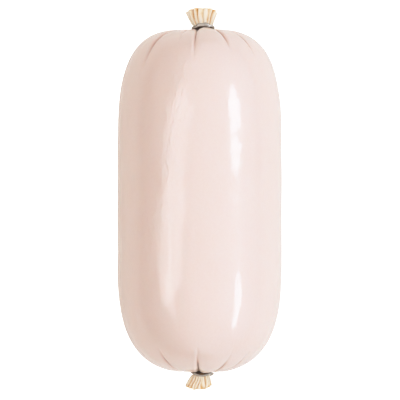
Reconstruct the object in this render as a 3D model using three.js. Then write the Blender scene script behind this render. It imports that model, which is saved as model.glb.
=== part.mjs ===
// A boiled sausage that lies on its side: a filled casing, closed at each end by a bent wire clip.
//
// The sausage lies along Y on the plane Z = 0, with the origin under the middle of its length. Its far
// end, at +Y, has a square shoulder, and its near end, at -Y, has a rounder one. The casing is one tube
// of film, stretched over the filling between the clips and cut off a little way past each of them, so
// the filled casing with both of its gathered tails is one solid. Sizes are in millimetres.
import * as THREE from "three";

// The filled part.
const CALIBRE = 86; // diameter across the straight middle
const FILLED_LENGTH = 179.5; // from one end of the filling to the other
const REST_SINK = 2.1; // how far the soft underside is pressed in by its own weight

// Each shoulder is r = R * (1 - (1 - s / length)^3)^power, at a distance s from the end of the filling.
const FAR_SHOULDER = { length: 63, power: 0.272 };
const NEAR_SHOULDER = { length: 60.5, power: 0.366 };

// The neck that a clip squeezes, the same at both ends.
const NECK_HALF_WIDTH = 4.4; // across X
const NECK_HALF_HEIGHT = 2; // across Z
const ROUND_RADIUS = 22; // where the flattened neck has spread into the round end

// The clip: a staple of flat wire, bent round the neck until its two legs lie side by side.
const WIRE_WIDTH = 1.5; // towards the neck
const WIRE_THICKNESS = 1.2; // along the neck
const LEG_GAP = 0.12; // between the two legs
const LEG_OVERLAP = 60; // degrees that each leg runs past the middle of its side
const CROSSING_TURN = 90; // degrees over which the second leg climbs past the tip of the first
const CLIP_BOW = 0.8; // how far the clip's broad sides bend away from the filling
const CLEARANCE = 0.3; // between the clip and the casing

// Each tail, from the end of the filling out to the cut edge of the film. It sits a little to +X of the
// axis, and leans by its cut edge.
const FAR_TAIL = { reach: 11.5, halfWidth: 8.1, halfHeight: 4.6, shift: 1.8, lean: -0.9 };
const NEAR_TAIL = { reach: 8.9, halfWidth: 6.9, halfHeight: 4.2, shift: 1.3, lean: -1.8 };
const TAIL_FOLDS = 18;
const TAIL_FOLD_DEPTH = 1;

// The pleats of each end: degrees round it from the top towards +X, and length along the casing.
const FAR_PLEATS = [
  [-5, 42], [25, 38], [55, 42], [85, 30], [115, 37], [150, 32],
  [180, 38], [210, 30], [240, 37], [270, 32], [315, 42], [340, 27],
];
const NEAR_PLEATS = [
  [0, 35], [30, 36], [50, 36], [80, 31], [110, 37], [145, 30],
  [175, 36], [205, 31], [235, 37], [265, 30], [295, 38], [320, 38],
];
const PLEAT_DEPTH = 1.7;
const PLEAT_HALF_WIDTH = 2.6;
const PLEAT_FULL_SHARE = 0.55; // of its length, over which a pleat keeps its depth before it fades

// Fineness of the solids.
const COLUMNS = 72; // round the casing, so that a pleat on a whole 5 degrees has a column of its own
const SHOULDER_ROWS = 14;
const ROW_CROWDING = 1.3; // above 1, the rows stand closer together near the neck
const TAIL_ROWS = 4;
const CLIP_STEPS = 60;
const WIRE_SIDES = 8;

const RADIUS = CALIBRE / 2;
const AXIS_HEIGHT = RADIUS - REST_SINK;
const FAR_END = (FILLED_LENGTH + NEAR_TAIL.reach - FAR_TAIL.reach) / 2;
const NEAR_END = FAR_END - FILLED_LENGTH;
const CLIP_PITCH = WIRE_THICKNESS + LEG_GAP;
const NECK_LENGTH = CLEARANCE + WIRE_THICKNESS + CLIP_PITCH + CLIP_BOW + CLEARANCE;
const NECK_FLATNESS = NECK_HALF_HEIGHT / NECK_HALF_WIDTH;
const CLIP_OUTSIDE = NECK_HALF_WIDTH + CLEARANCE + WIRE_WIDTH;

const FILM_OVER_MEAT = new THREE.MeshStandardMaterial({ color: 0xf0d9cf, roughness: 0.35, metalness: 0 });
const ALUMINIUM_WIRE = new THREE.MeshStandardMaterial({ color: 0xb4aea4, roughness: 0.35, metalness: 1 });

const { lerp, smoothstep, degToRad } = THREE.MathUtils;

// Rows of one end, from the cut edge of its tail to the full radius. s is the distance from the end of
// the filling, negative past it, and run is the distance along the casing from the neck. A row also has
// a radius, how flat it is, how far it is moved along X, and how deep the tail's folds are there.
function endRows(tail, shoulder, pleats) {
  const rows = [];
  for (let i = 0; i <= TAIL_ROWS; i++) {
    const share = 1 - i / TAIL_ROWS;
    const radius = lerp(NECK_HALF_WIDTH, tail.halfWidth, share);
    rows.push({
      s: -lerp(NECK_LENGTH, tail.reach, share),
      radius,
      flatness: lerp(NECK_HALF_HEIGHT, tail.halfHeight, share) / radius,
      shift: tail.shift + tail.lean * share,
      folds: share,
      pleats: [],
    });
  }
  const neck = { s: 0, radius: NECK_HALF_WIDTH, flatness: NECK_FLATNESS, shift: tail.shift, folds: 0 };
  rows.push({ ...neck, run: 0, pleats });

  // The turn goes from nearly 0, just outside the clip, to a quarter turn at the full radius.
  const start = Math.asin(((CLIP_OUTSIDE + CLEARANCE) / RADIUS) ** (0.5 / shoulder.power));
  for (let i = 0; i <= SHOULDER_ROWS; i++) {
    const turn = lerp(start, Math.PI / 2, (i / SHOULDER_ROWS) ** ROW_CROWDING);
    const s = shoulder.length * (1 - Math.max(0, Math.cos(turn)) ** (2 / 3));
    const radius = RADIUS * Math.sin(turn) ** (2 * shoulder.power);
    const spread = smoothstep(radius, NECK_HALF_WIDTH, ROUND_RADIUS);
    const before = rows.at(-1);
    rows.push({
      s,
      run: before.run + Math.hypot(s - before.s, radius - before.radius),
      radius,
      flatness: lerp(NECK_FLATNESS, 1, spread),
      shift: tail.shift * (1 - spread),
      folds: 0,
      pleats,
    });
  }
  return rows;
}

// How deep the row's pleats press in at this angle: sharp at the fold, and fading out along its length.
function pleatDepth(row, angle) {
  let depth = 0;
  for (const [degrees, length] of row.pleats) {
    const turn = angle - degToRad(degrees);
    const across = Math.abs(Math.atan2(Math.sin(turn), Math.cos(turn))) * row.radius;
    const along = 1 - smoothstep(row.run, PLEAT_FULL_SHARE * length, length);
    depth = Math.max(depth, PLEAT_DEPTH * along * Math.max(0, 1 - across / PLEAT_HALF_WIDTH));
  }
  return depth;
}

// One solid, lathed about Y from the rows of both ends and then pushed into shape row by row.
function filledCasing() {
  const near = endRows(NEAR_TAIL, NEAR_SHOULDER, NEAR_PLEATS);
  const far = endRows(FAR_TAIL, FAR_SHOULDER, FAR_PLEATS).reverse();
  const rows = [
    ...near.map((row) => ({ ...row, y: NEAR_END + row.s })),
    ...far.map((row) => ({ ...row, y: FAR_END - row.s })),
  ];

  // The profile closes on the axis at each cut edge, so each of those rows comes twice.
  rows.unshift(rows[0]);
  rows.push(rows.at(-1));
  const last = rows.length - 1;
  const profile = rows.map((row, i) => new THREE.Vector2(i === 0 || i === last ? 0 : row.radius, row.y));
  const geometry = new THREE.LatheGeometry(profile, COLUMNS);

  const position = geometry.getAttribute("position");
  const point = new THREE.Vector3();
  const along = new THREE.Vector2();
  for (let i = 0; i < position.count; i++) {
    const j = i % rows.length;
    const row = rows[j];
    point.fromBufferAttribute(position, i);
    const radius = Math.hypot(point.x, point.z);
    if (radius > 0) {
      const angle = Math.atan2(point.x, point.z);
      const fold = TAIL_FOLD_DEPTH * row.folds * (1 - Math.cos(TAIL_FOLDS * angle)) / 2;
      const pressed = pleatDepth(row, angle);
      along.subVectors(profile[j + 1], profile[j - 1]).normalize(); // a pleat presses square to this
      const out = (radius - fold - pressed * along.y) / radius;
      point.x *= out;
      point.z *= out * row.flatness;
      point.y += pressed * along.x;
    }
    point.x += row.shift;
    point.z = Math.max(point.z, -AXIS_HEIGHT);
    position.setXYZ(i, point.x, point.y, point.z);
  }
  const mesh = new THREE.Mesh(geometry, FILM_OVER_MEAT);
  mesh.name = "filled_casing";
  mesh.position.z = AXIS_HEIGHT;
  return mesh;
}

// The line along the middle of a clip's wire, which runs parallel to the neck. It starts at the tip of
// the first leg, on the +Z side, and ends at the tip of the second, which has climbed past the first.
class ClipLine extends THREE.Curve {
  getPoint(t, target = new THREE.Vector3()) {
    const firstTip = 90 - LEG_OVERLAP;
    const secondTip = 450 + LEG_OVERLAP;
    const degrees = lerp(firstTip, secondTip, t);
    const climb = smoothstep(degrees, 360 + firstTip - CROSSING_TURN, 360 + firstTip);
    const cos = Math.cos(degToRad(degrees));
    const sin = Math.sin(degToRad(degrees));
    const gap = (CLEARANCE + WIRE_WIDTH / 2) / Math.hypot(NECK_HALF_HEIGHT * cos, NECK_HALF_WIDTH * sin);
    return target.set(
      (NECK_HALF_WIDTH + gap * NECK_HALF_HEIGHT) * cos,
      CLEARANCE + WIRE_THICKNESS / 2 + CLIP_PITCH * climb + CLIP_BOW * sin ** 2,
      (NECK_HALF_HEIGHT + gap * NECK_HALF_WIDTH) * sin,
    );
  }
}

function clip(name, tail, end) {
  const section = new THREE.Shape();
  for (let i = 0; i < WIRE_SIDES; i++) {
    const angle = ((i + 0.5) / WIRE_SIDES) * 2 * Math.PI;
    const reach = 0.5 / Math.cos(Math.PI / WIRE_SIDES); // so that the flats, not the corners, give the size
    const x = WIRE_THICKNESS * reach * Math.cos(angle);
    const y = WIRE_WIDTH * reach * Math.sin(angle);
    if (i === 0) section.moveTo(x, y);
    else section.lineTo(x, y);
  }
  const geometry = new THREE.ExtrudeGeometry(section, { extrudePath: new ClipLine(), steps: CLIP_STEPS });
  const mesh = new THREE.Mesh(geometry, ALUMINIUM_WIRE);
  mesh.name = name;
  mesh.position.set(tail.shift, end, AXIS_HEIGHT);
  return mesh;
}

const farClip = clip("far_clip", FAR_TAIL, FAR_END);
const nearClip = clip("near_clip", NEAR_TAIL, NEAR_END);
nearClip.rotation.x = Math.PI; // points out along -Y, with the lapped legs underneath

const sausage = new THREE.Group();
sausage.add(filledCasing(), farClip, nearClip);

export default sausage;
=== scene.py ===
"""A boiled sausage that lies on a white table, seen from straight above.

The sausage lies along Y. Its far end is at +Y, and its near end is at -Y. Lengths are in metres.
"""
import math

import bpy
import numpy as np
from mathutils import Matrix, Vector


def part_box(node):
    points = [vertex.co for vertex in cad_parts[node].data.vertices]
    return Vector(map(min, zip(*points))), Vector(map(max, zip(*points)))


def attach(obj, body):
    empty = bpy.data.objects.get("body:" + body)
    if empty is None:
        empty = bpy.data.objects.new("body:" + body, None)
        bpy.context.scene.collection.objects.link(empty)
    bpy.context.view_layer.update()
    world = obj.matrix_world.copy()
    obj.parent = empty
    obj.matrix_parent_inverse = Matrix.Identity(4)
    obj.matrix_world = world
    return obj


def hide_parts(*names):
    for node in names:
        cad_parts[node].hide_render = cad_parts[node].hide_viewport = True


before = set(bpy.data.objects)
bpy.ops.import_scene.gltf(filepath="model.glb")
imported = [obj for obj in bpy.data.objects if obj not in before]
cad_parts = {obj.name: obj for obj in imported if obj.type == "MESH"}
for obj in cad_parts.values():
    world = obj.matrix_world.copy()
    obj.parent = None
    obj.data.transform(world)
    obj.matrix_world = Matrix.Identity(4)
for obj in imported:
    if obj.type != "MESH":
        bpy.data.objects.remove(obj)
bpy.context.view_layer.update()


# ---- The casing over its filling -----------------------------------------------------------------
# A tube of clear polyamide film, filled tight with pale, finely ground meat and then boiled in it, so
# that the film is stretched smooth and glossy. At both ends it is gathered to a narrow neck, and the
# spare film folds into pleats that run out from the neck, with plump lobes between them.

MM = 0.001
body_low, body_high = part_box("filled_casing")
radius = (body_high.x - body_low.x) / 2
axis_height = body_high.z - radius

CLIP_CLEARANCE = 0.3 * MM  # between a clip and the casing, as in the CAD
NECK_HALF_WIDTH = 4.4 * MM
NECK_HALF_HEIGHT = 2.0 * MM
ROUND_RADIUS = 22 * MM  # where the flattened neck has spread into the round end
CENTRED_RADIUS = 8 * MM  # where the end has come back to the axis from where its neck is
DIMPLE_WIDTH = 5.0 * MM  # how far out from the neck the dimple reaches
SOFT_EDGE = 1.2 * MM  # how gently the underside turns into its flat resting face

far_clip_low, far_clip_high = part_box("far_clip")
near_clip_low, near_clip_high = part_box("near_clip")

# A shoulder is r = radius * (1 - (1 - s / length)^3)^power at a distance s from the end of the filling.
# The dimple is how far the clip pulls the neck in. A pleat has a direction in degrees, round from the
# top towards +X, its length along the casing, its depth, how dark its painted shade is, and how far the
# lobe after it swells.
FAR_END = {
    "y": far_clip_low.y - CLIP_CLEARANCE,
    "out": 1,
    "neck_x": (far_clip_low.x + far_clip_high.x) / 2,
    "shoulder": 63 * MM,
    "power": 0.272,
    "dimple": 2.0 * MM,
    "pleats": [
        (-4.5, 41, 1.4, 0.76, 1.9), (26, 38, 1.1, 0.7, 0.6), (50, 42, 1.0, 0.6, 0.4),
        (85, 28, 0.8, 0.5, 0.3), (115, 36, 1.1, 0.6, 0.8), (150, 30, 0.9, 0.5, 1.0),
        (180, 36, 1.2, 0.6, 0.8), (210, 28, 0.8, 0.5, 0.9), (240, 36, 1.0, 0.6, 0.7),
        (270, 30, 0.8, 0.5, 0.3), (313, 47, 2.0, 0.74, 0.1), (340, 32, 0.8, 0.3, 0.0),
    ],
}
NEAR_END = {
    "y": near_clip_high.y + CLIP_CLEARANCE,
    "out": -1,
    "neck_x": (near_clip_low.x + near_clip_high.x) / 2,
    "shoulder": 60.5 * MM,
    "power": 0.366,
    "dimple": 2.0 * MM,
    "pleats": [
        (-2, 36, 1.6, 1.0, 1.3), (30, 30, 0.9, 0.6, 0.7), (50, 32, 0.8, 0.5, 0.7),
        (80, 28, 0.6, 0.4, 0.9), (110, 33, 1.0, 0.6, 0.8), (145, 27, 0.9, 0.5, 1.0),
        (175, 33, 1.1, 0.6, 0.8), (205, 28, 0.8, 0.5, 0.9), (235, 33, 0.9, 0.6, 0.7),
        (262, 28, 0.8, 0.5, 0.6), (287, 34, 0.6, 0.4, 0.5), (322, 38, 1.7, 0.74, 0.5),
    ],
}

COLUMNS_PER_LOBE = 32
CROWDING = 0.8  # how much closer together the columns stand beside a pleat
FINE_ROW = 0.55 * MM
FINE_RUN = 44 * MM  # the pleated part of the casing, which has fine rows
COARSE_ROW = 2.4 * MM
OLD_EDGE_ANGLE = -27  # degrees from the top, where the film's old edge crosses the middle
OLD_EDGE_TURN = 4.9  # radians that it winds round, for each metre along the sausage
CRINKLE_WIDTH = 5.5 * MM
CRINKLE_STRENGTH = 1.3  # how strong the crinkles are on the old edge

# Where a pleat, its lip and a lobe rise to their full height, and where a lobe falls away again, as the
# run along the casing from the neck.
PLEAT_RISE = (2 * MM, 16 * MM)
LIP_RISE = (4 * MM, 12 * MM)
LOBE_RISE = (0, 6 * MM)
LOBE_FALL = (10 * MM, 42 * MM)
FOLD_BLUNTNESS = 0.15 * MM  # how round the bottom of a pleat is
LIP_SHARE = 0.2  # the height of a pleat's lip, as a share of the pleat's depth
GATHERS = 23  # the fine ones that close round the neck
GATHER_DEPTH = 0.5 * MM
GATHER_RUN = 4 * MM  # how soon the gathers die out
# The darkness of the neck is a painted shadow.
NECK_SHADE_RUN = 1.7 * MM  # how soon the darkness of the neck dies out

# How uneven the filling leaves the casing, in broad and in small waves.
BROAD_UNEVENNESS = 0.1 * MM
SMALL_UNEVENNESS = 0.012 * MM
BROAD_SEED = 6
SMALL_SEED = 8

FILM_IOR = 1.53  # polyamide
# A dark brown painted shadow, for the deepest folds, the necks and the mouths of the clips.
DEEPEST_SHADE = "#402814"


def smooth_step(value, start, end):
    """0 before start, 1 after end, and a smooth change between them."""
    share = np.clip((value - start) / (end - start), 0, 1)
    return share * share * (3 - 2 * share)


def waves(angle, y, shortest, longest, seed):
    """Smooth random waves over the casing, about -1 to 1, that close on themselves round it."""
    random = np.random.default_rng(seed)
    count = 16
    likely_peak = 5  # what that many waves of height 1 seldom add up to
    total = 0
    for _ in range(count):
        length = random.uniform(shortest, longest)
        heading = random.uniform(0, math.pi)
        turns = round(2 * math.pi * radius / length * math.cos(heading))
        phase = random.uniform(0, 2 * math.pi)
        total = total + np.cos(turns * angle + 2 * math.pi * y / length * math.sin(heading) + phase)
    return total / likely_peak


def shoulder_rows(end):
    """Rows from the neck to the full radius: run along the casing, distance in, and radius."""
    samples = 6000
    turn = np.linspace(0, 1, samples) ** 2 * math.pi / 2
    inward = end["shoulder"] * (1 - np.maximum(np.cos(turn), 0) ** (2 / 3))
    out = radius * np.sin(turn) ** (2 * end["power"])
    run = np.concatenate(([0], np.cumsum(np.hypot(np.diff(inward), np.diff(out)))))
    run_at_neck = np.interp(NECK_HALF_WIDTH, out, run)
    fine = np.arange(run_at_neck, run_at_neck + FINE_RUN, FINE_ROW)
    coarse = np.linspace(fine[-1], run[-1], round((run[-1] - fine[-1]) / COARSE_ROW) + 1)[1:]
    rows = np.concatenate((fine, coarse))
    return rows - run_at_neck, np.interp(rows, run, inward), np.interp(rows, run, out)


def lobe_angles(end):
    """The angle of every column of the end. Columns crowd towards the pleats."""
    directions = np.radians([pleat[0] for pleat in end["pleats"]])
    following = np.append(directions[1:], directions[0] + 2 * math.pi)
    share = np.arange(COLUMNS_PER_LOBE) / COLUMNS_PER_LOBE
    share = share - CROWDING * np.sin(2 * math.pi * share) / (2 * math.pi)
    return (directions[:, None] + (following - directions)[:, None] * share).ravel()


def pleated_relief(end, run, out, angle):
    """How far the pleats and lobes of an end lift the casing, and how much painted shade each point
    takes in the folds and at the neck.
    """
    pleats = end["pleats"]
    relief = np.zeros(np.broadcast(run, angle).shape)
    folded = np.zeros(relief.shape)
    risen = smooth_step(run, *PLEAT_RISE)
    lipped = smooth_step(run, *LIP_RISE)
    swelling = smooth_step(run, *LOBE_RISE) * (1 - smooth_step(run, *LOBE_FALL))
    for i, (direction, length, depth, shade, swell) in enumerate(pleats):
        # The pleat itself: a sharp valley with a low lip along one side.
        aside = np.remainder(angle - math.radians(direction) + math.pi, 2 * math.pi) - math.pi
        across = aside * out
        reach = run / (length * MM)
        fade = np.clip(1 - reach, 0, 1)
        width = (0.35 + 0.3 * depth) * MM
        sharp = np.exp(-np.hypot(across, FOLD_BLUNTNESS) / width)
        lip_side = 1 if i % 2 else -1
        lip = np.exp(-(((across - lip_side * 2 * width) / (1.1 * width)) ** 2))
        lip *= lipped * fade**0.5
        relief += risen * (LIP_SHARE * depth * lip - sharp * fade**0.8 * depth) * MM

        # A pleat's painted shade is darkest over the middle of its length.
        shaded = (1 - smooth_step(reach, 0.6, 0.95)) * (0.65 + 0.35 * smooth_step(reach, 0.2, 0.42))
        line = np.exp(-((across / (0.7 * width)) ** 2))
        folded = np.maximum(folded, line * shaded * shade)

        # The lobe after it, which swells most a little way out from the neck.
        next_direction = pleats[(i + 1) % len(pleats)][0] + (360 if i + 1 == len(pleats) else 0)
        span = math.radians(next_direction - direction)
        share = np.remainder(angle - math.radians(direction), 2 * math.pi) / span
        arch = np.where(share < 1, np.sin(math.pi * np.clip(share, 0, 1)), 0) ** 0.5
        relief += swell * MM * swelling * (arch - 0.5 * (share < 1))

    # Fine gathers close round the neck.
    uneven = 1.7 * np.sin(3 * angle) + 1.1 * np.sin(5 * angle + 1)
    gathers = np.abs(np.cos(GATHERS * angle + uneven))
    relief -= GATHER_DEPTH * np.exp(-run / GATHER_RUN) * (1 - gathers) * smooth_step(run, 0, 2 * MM)
    # Painted shadow: the casing darkens towards the neck, under the clip.
    folded = np.maximum(folded, np.exp(-run / NECK_SHADE_RUN))
    return relief, folded


def closed_mesh(name, rings, **shades):
    """A closed mesh: rings of points joined each to the next, with a centre point in the two end ones.
    Each shade is a number for every ring point, kept as an attribute for the material."""
    count, around = rings.shape[:2]
    points = np.vstack((rings.reshape(-1, 3), rings[0].mean(0), rings[-1].mean(0)))
    ring = np.arange(count * around).reshape(count, around)
    beside = np.roll(ring, -1, 1)
    quads = np.stack((ring[:-1], beside[:-1], beside[1:], ring[1:]), -1).reshape(-1, 4).tolist()
    start_fan = [(b, a, count * around) for a, b in zip(ring[0].tolist(), beside[0].tolist())]
    end_fan = [(a, b, count * around + 1) for a, b in zip(ring[-1].tolist(), beside[-1].tolist())]
    mesh = bpy.data.meshes.new(name)
    mesh.from_pydata(points.tolist(), [], quads + start_fan + end_fan)
    for label, values in shades.items():
        values = np.broadcast_to(values, (count, around))
        ends = (values[0].mean(), values[-1].mean())
        attribute = mesh.attributes.new(label, "FLOAT", "POINT")
        attribute.data.foreach_set("value", np.append(values.ravel(), ends).astype(np.float32))
    mesh.shade_smooth()
    made = bpy.data.objects.new(name, mesh)
    bpy.context.scene.collection.objects.link(made)
    return made


def casing_mesh():
    """One closed skin, from the neck of the near end to the neck of the far end."""
    near_run, near_in, near_out = shoulder_rows(NEAR_END)
    far_run, far_in, far_out = shoulder_rows(FAR_END)
    near_y = NEAR_END["y"] + near_in
    far_y = FAR_END["y"] - far_in
    gap = far_y[-1] - near_y[-1]
    middle = np.linspace(0, gap, round(gap / COARSE_ROW) + 1)[1:-1]

    # All rows from the near neck to the far neck, with the run from each end.
    y = np.concatenate((near_y, near_y[-1] + middle, far_y[::-1]))[:, None]
    out = np.concatenate((near_out, np.full(len(middle), radius), far_out[::-1]))[:, None]
    far_side = np.concatenate((gap + far_run[-1] + near_run[-1] - near_run, far_run[-1] + gap - middle))
    from_far = np.concatenate((far_side, far_run[::-1]))[:, None]
    from_near = near_run[-1] + gap + far_run[-1] - from_far

    # The columns turn slowly from the near pleats to the far ones.
    turning = smooth_step(y, near_y[-1] - 10 * MM, far_y[-1] + 10 * MM)
    angle = (1 - turning) * lobe_angles(NEAR_END) + turning * lobe_angles(FAR_END)
    near_relief, near_fold_shade = pleated_relief(NEAR_END, from_near, out, angle)
    far_relief, far_fold_shade = pleated_relief(FAR_END, from_far, out, angle)
    past_pleats = smooth_step(np.minimum(from_near, from_far), 10 * MM, 45 * MM)
    relief = near_relief + far_relief
    broad = waves(angle, y, 14 * MM, 40 * MM, BROAD_SEED)
    small = waves(angle, y, 4 * MM, 9 * MM, SMALL_SEED)
    relief += BROAD_UNEVENNESS * broad * (0.4 + 0.6 * past_pleats)
    relief += SMALL_UNEVENNESS * small

    # The relief stands square to the casing.
    slope_y = np.gradient(y, axis=0)
    slope_out = np.gradient(out, axis=0)
    slope = np.hypot(slope_y, slope_out)
    wide = out + relief * slope_y / slope
    y = y - relief * slope_out / slope
    pulled = np.exp(-(((out - NECK_HALF_WIDTH) / DIMPLE_WIDTH) ** 2))
    y = y + pulled * np.where(from_near < from_far, NEAR_END["dimple"], -FAR_END["dimple"])

    # Towards the necks it is flatter, and moves over to where each neck is.
    spread = smooth_step(out, NECK_HALF_WIDTH, ROUND_RADIUS)
    flatness = NECK_HALF_HEIGHT / NECK_HALF_WIDTH * (1 - spread) + spread
    neck_x = np.where(from_near < from_far, NEAR_END["neck_x"], FAR_END["neck_x"])
    x = wide * np.sin(angle) + neck_x * (1 - smooth_step(out, NECK_HALF_WIDTH, CENTRED_RADIUS))
    z = axis_height + wide * np.cos(angle) * flatness
    blend = np.clip(1 - np.abs(z) / SOFT_EDGE, 0, None)
    z = np.maximum(z, 0) + blend * blend * SOFT_EDGE / 4
    rings = np.stack((x, np.broadcast_to(y, x.shape), z), -1)

    # The film came flat from its reel. It stays crinkled along its old edge, which winds round a little,
    # except towards the near end, where the filling has stretched it smooth.
    old_edge = math.radians(OLD_EDGE_ANGLE) + OLD_EDGE_TURN * y
    aside = np.remainder(angle - old_edge + math.pi, 2 * math.pi) - math.pi
    crinkled = CRINKLE_STRENGTH * np.exp(-((aside * radius / CRINKLE_WIDTH) ** 2))
    crinkled = crinkled * past_pleats * smooth_step(y, -50 * MM, 0)
    # The painted shade of the folds at both ends.
    folded = np.maximum(near_fold_shade, far_fold_shade)
    return closed_mesh("casing_over_filling", rings, folded=folded, crinkled=crinkled)


def linear(colour):
    """An sRGB colour such as "#E9C3B5", as linear red, green, blue and alpha."""
    parts = [int(colour[i : i + 2], 16) / 255 for i in (1, 3, 5)]
    return [p / 12.92 if p <= 0.04045 else ((p + 0.055) / 1.055) ** 2.4 for p in parts] + [1]


def add_node(material, kind, inputs=None, **settings):
    """Adds a node with its settings. Each input is a constant or another node's output."""
    tree = material.node_tree
    made = tree.nodes.new(kind)
    for name, value in settings.items():
        setattr(made, name, value)
    for name, value in (inputs or {}).items():
        if isinstance(value, bpy.types.NodeSocket):
            tree.links.new(value, made.inputs[name])
        else:
            made.inputs[name].default_value = value
    return made


def new_material(name):
    """A material with no nodes in it yet."""
    material = bpy.data.materials.new(name)
    material.use_nodes = True
    material.node_tree.nodes.clear()
    return material


def polyamide_over_meat():
    """Clear cast polyamide film, tight over boiled meat: pale pink, faintly mottled, with a milky gloss
    that has a sharp highlight in it. The folds are painted redder and darker as painted shade, and the
    deepest folds and the neck take a painted shadow of dark brown."""
    material = new_material("polyamide_film_over_boiled_meat")
    place = add_node(material, "ShaderNodeTexCoord").outputs["Object"]
    folded = add_node(material, "ShaderNodeAttribute", attribute_name="folded").outputs["Fac"]

    # Fat and lean are ground so fine that only soft patches about 12 mm across are left.
    patches = add_node(material, "ShaderNodeTexNoise", {
        "Vector": place, "Scale": 1 / (12 * MM), "Detail": 3, "Roughness": 0.5,
    })
    specks = add_node(material, "ShaderNodeTexNoise", {
        "Vector": place, "Scale": 1 / (1.2 * MM), "Detail": 2, "Roughness": 0.6,
    })
    meat = add_node(material, "ShaderNodeMix", {
        "Factor": patches.outputs["Fac"],
    }, data_type="RGBA")
    # ShaderNodeMix repeats its input names for each data type, so its colours go in by number.
    meat.inputs[6].default_value = linear("#EAD3C8")
    meat.inputs[7].default_value = linear("#E9D1C4")
    speckled = add_node(material, "ShaderNodeMix", data_type="RGBA", blend_type="SOFT_LIGHT")
    speckled.inputs[0].default_value = 0.10
    material.node_tree.links.new(meat.outputs[2], speckled.inputs[6])
    material.node_tree.links.new(specks.outputs["Fac"], speckled.inputs[7])
    # Painted shade: the folds are painted a redder brown, by how deep in a fold each point is.
    crease_shade = add_node(material, "ShaderNodeMix", data_type="RGBA")
    crease_shade.inputs[7].default_value = linear("#C28564")
    material.node_tree.links.new(folded, crease_shade.inputs[0])
    material.node_tree.links.new(speckled.outputs[2], crease_shade.inputs[6])
    # Painted shadow: the deepest folds and the neck go over to dark brown.
    deep_shade_share = add_node(material, "ShaderNodeMapRange", {
        "Value": folded, "From Min": 0.75, "From Max": 1.0,
    })
    gap_shadow = add_node(material, "ShaderNodeMix", data_type="RGBA")
    gap_shadow.inputs[7].default_value = linear(DEEPEST_SHADE)
    material.node_tree.links.new(deep_shade_share.outputs["Result"], gap_shadow.inputs[0])
    material.node_tree.links.new(crease_shade.outputs[2], gap_shadow.inputs[6])

    # The boil has cockled the film, with soft waves about 8 mm long and fine wrinkles about 2 mm wide.
    # The wrinkles are strongest along the film's old edge. Elsewhere they are faint, or stretched out.
    cockle = add_node(material, "ShaderNodeTexNoise", {
        "Vector": place, "Scale": 1 / (8 * MM), "Detail": 1, "Roughness": 0.4, "Distortion": 0.3,
    })
    lengthwise = add_node(material, "ShaderNodeMapping", {"Vector": place, "Scale": (1, 0.45, 1)})
    wrinkle = add_node(material, "ShaderNodeTexNoise", {
        "Vector": lengthwise.outputs["Vector"], "Scale": 1 / (2.2 * MM), "Detail": 2, "Roughness": 0.55,
        "Distortion": 0.8,
    })
    where = add_node(material, "ShaderNodeTexNoise", {
        "Vector": place, "Scale": 1 / (28 * MM), "Detail": 1, "Roughness": 0.5,
    })
    slack = add_node(material, "ShaderNodeMapRange", {
        "Value": where.outputs["Fac"], "From Min": 0.3, "From Max": 0.7, "To Max": 0.6,
    })
    crinkled = add_node(material, "ShaderNodeAttribute", attribute_name="crinkled").outputs["Fac"]
    loose = add_node(material, "ShaderNodeMath", {
        0: slack.outputs["Result"], 1: crinkled,
    }, operation="ADD")
    fine = add_node(material, "ShaderNodeMath", {
        0: wrinkle.outputs["Fac"], 1: loose.outputs[0],
    }, operation="MULTIPLY")
    waved = add_node(material, "ShaderNodeBump", {
        "Height": cockle.outputs["Fac"], "Strength": 1.0, "Distance": 0.2 * MM,
    })
    film = add_node(material, "ShaderNodeBump", {
        "Height": fine.outputs[0], "Strength": 1.0, "Distance": 0.17 * MM,
        "Normal": waved.outputs["Normal"],
    })
    shader = add_node(material, "ShaderNodeBsdfPrincipled", {
        "Base Color": gap_shadow.outputs[2],
        "Roughness": 0.45,
        "IOR": FILM_IOR,
        "Subsurface Weight": 0.2,
        "Subsurface Radius": (1.0, 0.45, 0.3),
        "Subsurface Scale": 2.5 * MM,
        "Coat Weight": 1.0,
        "Coat Roughness": 0.11,
        "Coat IOR": FILM_IOR,
        "Normal": film.outputs["Normal"],
        "Coat Normal": film.outputs["Normal"],
    })
    add_node(material, "ShaderNodeOutputMaterial", {"Surface": shader.outputs["BSDF"]})
    return material


casing = casing_mesh()
casing.data.materials.append(polyamide_over_meat())
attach(casing, "root")
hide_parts("filled_casing")


# ---- The two gathered tails ----------------------------------------------------------------------
# Past each clip the same tube of film is empty. It opens into a short frill of pressed pleats, which
# were cut straight across with a blade. The film is cream where it is single, and amber in the valleys,
# partly for the film lying several layers deep and partly as painted shade. Where it goes into the clip
# it is a painted shadow of dark brown.

FILM_THICKNESS = 0.16 * MM  # the real film is thinner: this is as thick as it needs to be to show
TAIL_COLUMNS = 30  # in each pleat
TAIL_ROWS = 36
FLOOR_ROW = 16  # the inside goes down to the row above this one

# A tail reaches past the end of the filling. It comes out of its clip as wide as its mouth, and spreads
# to its half width and half height at the cut edge, which arches in towards the clip at both sides. The
# whole tail leans over, and its pleats wander.
TAILS = [
    {
        "name": "far_tail", "end": FAR_END, "reach": body_high.y - FAR_END["y"],
        "mouth": 5.4 * MM, "half_width": 8.7 * MM, "half_height": 4.6 * MM, "lean": -0.8 * MM,
        "arch": 2.4 * MM, "wander": 0.06, "clip_height": 2.4 * MM, "pleats": 16,
        "seed": 14,
    },
    {
        "name": "near_tail", "end": NEAR_END, "reach": NEAR_END["y"] - body_low.y,
        "mouth": 4.9 * MM, "half_width": 7.1 * MM, "half_height": 4.2 * MM, "lean": -2.0 * MM,
        "arch": 2.1 * MM, "wander": 0.16, "clip_height": 1.5 * MM, "pleats": 20,
        "seed": 2,
    },
]


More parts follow.
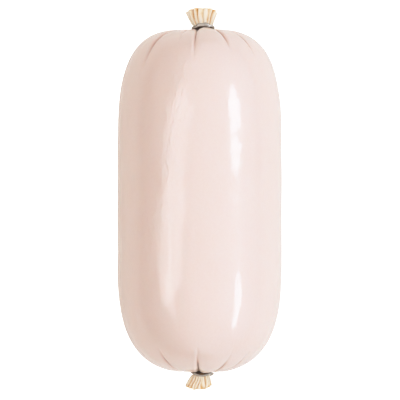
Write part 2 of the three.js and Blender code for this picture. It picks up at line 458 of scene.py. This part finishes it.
def tail_mesh(tail):
    """One closed skin, up the outside of the frill from the neck and back down its inside."""
    # Each pleat has its own width, stands out its own way, and is cut off a little long or short. Each
    # valley between two pleats has its own depth.
    random = np.random.default_rng(tail["seed"])
    count = tail["pleats"]
    widths = random.uniform(0.55, 1.5, count)
    widths *= 2 * math.pi / widths.sum()
    starts = np.cumsum(widths) - widths
    valleys = random.uniform(0.3, 1, count)
    share = np.arange(TAIL_COLUMNS) / TAIL_COLUMNS
    angle = (starts[:, None] + widths[:, None] * share).ravel()
    ridge = np.tile(np.sin(math.pi * share) ** 0.7, count)
    valley = np.where(share < 0.5, valleys[:, None], np.roll(valleys, -1)[:, None]).ravel()
    lie_over = np.repeat(random.uniform(-0.5, 0.5, count) * widths, TAIL_COLUMNS)
    stand_out = np.repeat(random.uniform(0.92, 1.05, count), TAIL_COLUMNS)
    phase = np.interp(angle, starts, random.uniform(0, 2 * math.pi, count), period=2 * math.pi)
    ragged = np.repeat(random.uniform(-0.2, 0.12, count) * MM, TAIL_COLUMNS)
    edge = tail["reach"] - tail["arch"] * np.sin(angle) ** 4 + ragged + 0.2 * MM * (ridge - 1)
    start = -tail["end"]["dimple"] - 0.8 * MM
    mouth_at = tail["clip_height"]  # where the film comes out of the clip

    def ring(rise):
        """One ring of the outer face, at a rise of 0 in the neck to 1 at the cut edge."""
        from_end = (1 - rise) * start + rise * edge
        out_of_clip = smooth_step(from_end, mouth_at - 0.8 * MM, mouth_at + 0.4 * MM)
        flare = np.clip((from_end - mouth_at) / (edge - mouth_at), 0, 1) ** 0.9
        half_width = NECK_HALF_WIDTH + (tail["mouth"] - NECK_HALF_WIDTH) * out_of_clip
        half_width = half_width + (tail["half_width"] - tail["mouth"]) * flare
        half_height = NECK_HALF_HEIGHT * (1 + 0.25 * out_of_clip)
        half_height = half_height * (1 - flare) + tail["half_height"] * flare
        depth = (0.16 + 0.08 * out_of_clip + 0.22 * flare) * valley
        reach = (1 - depth * (1 - ridge)) * (1 + (stand_out - 1) * flare)
        turned = angle + lie_over * (1 - ridge) * (0.3 + 0.7 * flare)
        turned = turned + tail["wander"] * flare * np.sin(5 * flare + phase)
        lean = tail["lean"] * (0.4 * out_of_clip + 0.6 * flare)
        x = tail["end"]["neck_x"] + lean + half_width * reach * np.sin(turned)
        z = axis_height + half_height * reach * np.cos(turned)
        return np.stack((x, tail["end"]["y"] + tail["end"]["out"] * from_end, z), -1)

    rises = np.linspace(0, 1, TAIL_ROWS)
    outer = np.stack([ring(rise) for rise in rises])

    # The inner face is one film's thickness in from the outer one, and ends at a floor above the neck.
    along = np.roll(outer, -1, 1) - np.roll(outer, 1, 1)
    inward = np.stack((-along[..., 2], np.zeros(along.shape[:2]), along[..., 0]), -1)
    inward /= np.linalg.norm(inward, axis=-1, keepdims=True)
    inner = (outer - FILM_THICKNESS * inward)[:FLOOR_ROW:-1]
    rings = np.concatenate((outer, inner))

    # The film is tinted amber in the valleys, most of all at the bottom of the open ones near the edge:
    # partly for the layers of film, partly as painted shade. Where the film goes into the clip the tint
    # is a painted shadow of dark brown. The inner face has a half tint all over.
    towards_edge = 0.4 + 0.8 * rises[:, None]
    hollow = np.tile(1 - np.sin(math.pi * share), count)
    pocket = hollow ** (2.2 - 1.7 * rises[:, None])
    layer_tint_and_shade = np.minimum(0.12 + 1.2 * valley**1.5 * pocket * towards_edge, 1)
    from_end = tail["end"]["out"] * (outer[..., 1] - tail["end"]["y"])
    # Painted shadow where the film goes into the clip.
    layer_tint_and_shade = np.maximum(layer_tint_and_shade, 2 * (1 - smooth_step(from_end, mouth_at - 1.0 * MM, mouth_at - 0.2 * MM)))
    folded = np.concatenate((layer_tint_and_shade, np.full(inner.shape[:2], 0.5)))
    return closed_mesh(tail["name"], rings, folded=folded)


def gathered_film():
    """Empty polyamide film, pressed into pleats: satin, slightly see-through, cream, and amber in the
    folds, partly where it lies several layers deep and partly as painted shade, with a painted shadow
    of dark brown where it goes into the clip."""
    material = new_material("gathered_polyamide_film")
    place = add_node(material, "ShaderNodeTexCoord").outputs["Object"]
    folded = add_node(material, "ShaderNodeAttribute", attribute_name="folded").outputs["Fac"]
    tint_noise = add_node(material, "ShaderNodeTexNoise", {
        "Vector": place, "Scale": 1 / (3 * MM), "Detail": 2, "Roughness": 0.5,
    })
    depth = add_node(material, "ShaderNodeMath", {
        0: folded, 1: tint_noise.outputs["Fac"],
    }, operation="MULTIPLY")
    double = add_node(material, "ShaderNodeMath", {
        0: depth.outputs[0], 1: 2.0,
    }, operation="MULTIPLY", use_clamp=True)
    # Partly painted shade: the valleys go over from cream to amber, patchily.
    layers_and_shade = add_node(material, "ShaderNodeMix", data_type="RGBA")
    layers_and_shade.inputs[6].default_value = linear("#FBF2DF")
    layers_and_shade.inputs[7].default_value = linear("#E0B066")
    material.node_tree.links.new(double.outputs[0], layers_and_shade.inputs[0])
    # Painted shadow: the film goes over to dark brown where it enters the clip.
    deep_shade_share = add_node(material, "ShaderNodeMapRange", {
        "Value": folded, "From Min": 1.0, "From Max": 2.0,
    })
    colour = add_node(material, "ShaderNodeMix", data_type="RGBA")
    colour.inputs[7].default_value = linear(DEEPEST_SHADE)
    material.node_tree.links.new(deep_shade_share.outputs["Result"], colour.inputs[0])
    material.node_tree.links.new(layers_and_shade.outputs[2], colour.inputs[6])
    shader = add_node(material, "ShaderNodeBsdfPrincipled", {
        "Base Color": colour.outputs[2],
        "Roughness": 0.38,
        "IOR": FILM_IOR,
        "Subsurface Weight": 0.25,
        "Subsurface Radius": (1.0, 0.85, 0.6),
        "Subsurface Scale": 0.4 * MM,
    })
    add_node(material, "ShaderNodeOutputMaterial", {"Surface": shader.outputs["BSDF"]})
    return material


tail_film = gathered_film()
for tail in TAILS:
    frill = tail_mesh(tail)
    frill.data.materials.append(tail_film)
    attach(frill, "root")
    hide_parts("filled_casing")


# ---- The two wire clips --------------------------------------------------------------------------
# A staple of soft aluminium wire, pressed round the neck by a clipping machine. Its die rolls the two
# legs past each other on one side, so the far clip shows them lapped and the near clip its plain back.

WIRE_WIDTH = 1.5 * MM  # towards the neck
WIRE_STEPS = 260
WIRE_SIDES = 28
CORNER_POWER = 0.75  # 1 is an oval section, and less has squarer corners
TIP_STEPS = 9  # how many steps from each tip the wire is rounded off
LUMPS = ((437, 11), (46, 12))  # where the wire is thicker, and over what, in degrees round the neck

# The seat is how far a clip stands off from the filling, the bow how far its broad sides bend outwards,
# the pitch how far its second leg climbs past the first, the lap how many degrees each leg runs past the
# middle of its side, and the dents how strongly the die has marked it.
CLIPS = [
    {
        "name": "far_clip_wire", "node": "far_clip", "end": FAR_END, "up": 1, "thickness": 1.5 * MM,
        "seat": 1.0 * MM, "bow": 1.2 * MM, "pitch": 0.6 * MM, "lap": 46, "dents": 1.1,
    },
    {
        "name": "near_clip_wire", "node": "near_clip", "end": NEAR_END, "up": -1, "thickness": 1.15 * MM,
        "seat": 0, "bow": 1.4 * MM, "pitch": 1.2 * MM, "lap": 60, "dents": 0.4,
    },
]


def clip_mesh(clip):
    """One closed wire, swept from the tip of the first leg to the tip of the second."""
    lap = clip["lap"]
    middle = 90  # degrees round the neck, to the middle of the lapped side
    again = middle + 360
    share = np.linspace(0, 1, WIRE_STEPS)
    degrees = middle - lap + (360 + 2 * lap) * share
    turn = np.radians(degrees)

    # The second leg climbs past the tip of the first, and its own tip sinks back a little.
    climb = smooth_step(degrees, again - 18 - 2 * lap, again - lap) * clip["pitch"]
    climb = climb * (1 - 0.6 * smooth_step(degrees, again + lap - 20, again + lap))
    gap = CLIP_CLEARANCE + WIRE_WIDTH / 2
    gap = gap / np.hypot(NECK_HALF_HEIGHT * np.cos(turn), NECK_HALF_WIDTH * np.sin(turn))
    x = (NECK_HALF_WIDTH + gap * NECK_HALF_HEIGHT) * np.cos(turn)
    z = (NECK_HALF_HEIGHT + gap * NECK_HALF_WIDTH) * np.sin(turn)
    rise = clip["seat"] + climb + clip["bow"] * np.sin(turn) ** 2
    rise = rise + clip["dents"] * 0.08 * MM * np.sin(7 * turn)
    line = np.stack((clip["end"]["neck_x"] + x, clip["end"]["y"] + clip["end"]["out"] * rise,
                     axis_height + clip["up"] * z), -1)

    # The section is a round-cornered flat. The die has dented it all along, and left it thicker in
    # two places on the lapped side.
    along = np.gradient(line, axis=0)
    along /= np.linalg.norm(along, axis=1, keepdims=True)
    across = np.cross(along, (0, 1, 0))
    across /= np.linalg.norm(across, axis=1, keepdims=True)
    up = np.cross(across, along)
    side = np.arange(WIRE_SIDES) / WIRE_SIDES * 2 * math.pi
    flat_x = np.sign(np.cos(side)) * np.abs(np.cos(side)) ** CORNER_POWER
    flat_y = np.sign(np.sin(side)) * np.abs(np.sin(side)) ** CORNER_POWER
    dents = 1 - clip["dents"] * 0.09 * (1 + np.sin(8 * turn + 1)) * np.abs(np.sin(2.3 * turn))
    lumps = sum(np.exp(-(((degrees - place) / spread) ** 2)) for place, spread in LUMPS)
    dents = (dents + clip["dents"] * 0.3 * lumps)[:, None, None]
    tip = np.clip(np.minimum(share, 1 - share) * WIRE_STEPS / TIP_STEPS, 0, 1)
    size = (0.5 + 0.5 * np.sqrt(tip * (2 - tip)))[:, None, None]
    rings = (
        line[:, None]
        + size * dents**0.5 * (flat_x[:, None] * across[:, None] * WIRE_WIDTH / 2)
        + size * dents * (flat_y[:, None] * up[:, None] * clip["thickness"] / 2)
    )
    return closed_mesh(clip["name"], rings)


def drawn_aluminium():
    """Soft aluminium wire, drawn and then pressed: grey with a satin shine, and scuffed where the die
    slid along it."""
    material = new_material("drawn_aluminium_wire")
    place = add_node(material, "ShaderNodeTexCoord").outputs["Object"]
    scuffs = add_node(material, "ShaderNodeTexNoise", {
        "Vector": place, "Scale": 1 / (0.7 * MM), "Detail": 3, "Roughness": 0.6,
    })
    polish = add_node(material, "ShaderNodeMapRange", {
        "Value": scuffs.outputs["Fac"], "From Min": 0.3, "From Max": 0.7, "To Min": 0.28, "To Max": 0.46,
    })
    dents = add_node(material, "ShaderNodeBump", {
        "Height": scuffs.outputs["Fac"], "Strength": 1.0, "Distance": 0.05 * MM,
    })
    shader = add_node(material, "ShaderNodeBsdfPrincipled", {
        "Base Color": linear("#B6AEA2"),
        "Metallic": 1.0,
        "Roughness": polish.outputs["Result"],
        "Normal": dents.outputs["Normal"],
    })
    add_node(material, "ShaderNodeOutputMaterial", {"Surface": shader.outputs["BSDF"]})
    return material


clip_wire = drawn_aluminium()
for clip in CLIPS:
    wire = clip_mesh(clip)
    wire.data.materials.append(clip_wire)
    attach(wire, "root")
    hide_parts(clip["node"])


# ---- The table and the light ---------------------------------------------------------------------
# White acrylic, lit a little from below so that the shadow is faint, under long dim softboxes. Bright
# narrow ones on the right give the two streaks of gloss. On the left, a slanting window gives the broad
# soft reflection, and a dim strip draws that out to a narrow end.

TABLE_HALF_SIZE = 2.0
TABLE_GLOW = 1.3  # how bright the glow is to the camera
MIRRORED_GLOW = 0.12  # how bright it is in the gloss
ROOM_LIGHT = 0.325


def acrylic_table():
    """A flat sheet at the height of the resting face."""
    half = TABLE_HALF_SIZE
    corners = [(-half, -half, 0), (half, -half, 0), (half, half, 0), (-half, half, 0)]
    mesh = bpy.data.meshes.new("white_table")
    mesh.from_pydata(corners, [], [(0, 1, 2, 3)])
    table = bpy.data.objects.new("white_table", mesh)
    bpy.context.scene.collection.objects.link(table)

    # The camera meets the glow, and a trace of it shows in the gloss, so that it hides the shadow
    # without lighting the sausage.
    material = new_material("white_acrylic_lit_from_below")
    path = add_node(material, "ShaderNodeLightPath")
    mirrored = add_node(material, "ShaderNodeMath", {
        0: path.outputs["Is Glossy Ray"], 1: MIRRORED_GLOW,
    }, operation="MULTIPLY")
    glow = add_node(material, "ShaderNodeMath", {
        0: path.outputs["Is Camera Ray"], 1: TABLE_GLOW, 2: mirrored.outputs[0],
    }, operation="MULTIPLY_ADD")
    shader = add_node(material, "ShaderNodeBsdfPrincipled", {
        "Base Color": linear("#EAE4DA"),
        "Roughness": 0.8,
        "Emission Color": linear("#FFFFFF"),
        "Emission Strength": glow.outputs[0],
    })
    add_node(material, "ShaderNodeOutputMaterial", {"Surface": shader.outputs["BSDF"]})
    mesh.materials.append(material)
    return table


def softbox(name, start, end, distance, y_range, radiance, colour, shape="RECTANGLE", spin=0):
    """A flat softbox that faces the sausage, from one tilt to another in degrees from straight up
    towards +X, and between two places along Y. It can be spun in its own plane."""
    turn = math.radians((start + end) / 2)
    width = 2 * distance * math.tan(math.radians(end - start) / 2)
    data = bpy.data.lights.new(name, "AREA")
    data.shape = shape
    data.size = width
    data.size_y = y_range[1] - y_range[0]
    data.energy = radiance * math.pi * data.size * data.size_y
    data.color = linear(colour)[:3]
    light = bpy.data.objects.new(name, data)
    height = axis_height + distance * math.cos(turn)
    light.location = (distance * math.sin(turn), sum(y_range) / 2, height)
    light.rotation_mode = "ZYX"  # the spin comes before the tilt
    light.rotation_euler = (0, turn, math.radians(spin))
    light.visible_camera = False
    bpy.context.scene.collection.objects.link(light)
    return light


acrylic_table()
softbox("overhead_box", -16, 27, 1.3, (-6, 6), 0.82, "#EAF3FF")
softbox("right_box", 27, 88, 1.3, (-6, 6), 0.76, "#D6EBFF")
softbox("left_window", -58, -12, 1.25, (-0.17, 0.28), 2.45, "#F0F6FF", "RECTANGLE", 35)
softbox("left_strip", -46, -38, 1.2, (-0.62, 0.02), 1.5, "#F0F6FF", "ELLIPSE", 6)
softbox("left_box", -44, -16, 1.4, (-6, 6), 0.5, "#EFF5FF")
softbox("right_far_strip", 40, 59, 1.0, (0.02, 0.43), 5.2, "#E2ECFF", "ELLIPSE", 20)
softbox("right_near_strip", 51, 60, 1.0, (-0.70, -0.09), 5.6, "#E2ECFF", "ELLIPSE", 8)

world = bpy.data.worlds.new("white_room")
world.use_nodes = True
world.node_tree.nodes["Background"].inputs["Color"].default_value = linear("#FFDFC2")
world.node_tree.nodes["Background"].inputs["Strength"].default_value = ROOM_LIGHT
bpy.context.scene.world = world


# ---- The camera ----------------------------------------------------------------------------------
# A long lens on a stand, looking straight down with the sausage's far end at the top. It stands off so
# far that the shoulders don't hide the clips.

FIELD = 209.8 * MM  # what the view spans at the height of the sausage's axis
SENSOR = 36.0
LENS = 200.0
CAMERA_X = 0.2 * MM
CAMERA_Y = -0.7 * MM
WHITE = 1.3  # the tone in the scene that shows as pure white
TONES = ((0.4, 0.4), (0.8, 0.79), (1.0, 0.92))  # tones in the scene, and how bright each one shows

camera_data = bpy.data.cameras.new("camera_above")
camera_data.sensor_width = SENSOR
camera_data.lens = LENS
camera_data.clip_end = 10
camera = bpy.data.objects.new("camera_above", camera_data)
camera.location = (CAMERA_X, CAMERA_Y, axis_height + FIELD * LENS / SENSOR)
bpy.context.scene.collection.objects.link(camera)
bpy.context.scene.camera = camera

# A gentle shoulder in the tone curve holds the brightest tones under pure white.
view = bpy.context.scene.view_settings
view.view_transform = "Standard"
view.use_curve_mapping = True
mapping = view.curve_mapping
mapping.white_level = (WHITE, WHITE, WHITE)
all_colours = mapping.curves[3]
for scene_tone, shown_tone in TONES:
    all_colours.points.new(scene_tone / WHITE, shown_tone)
mapping.update()
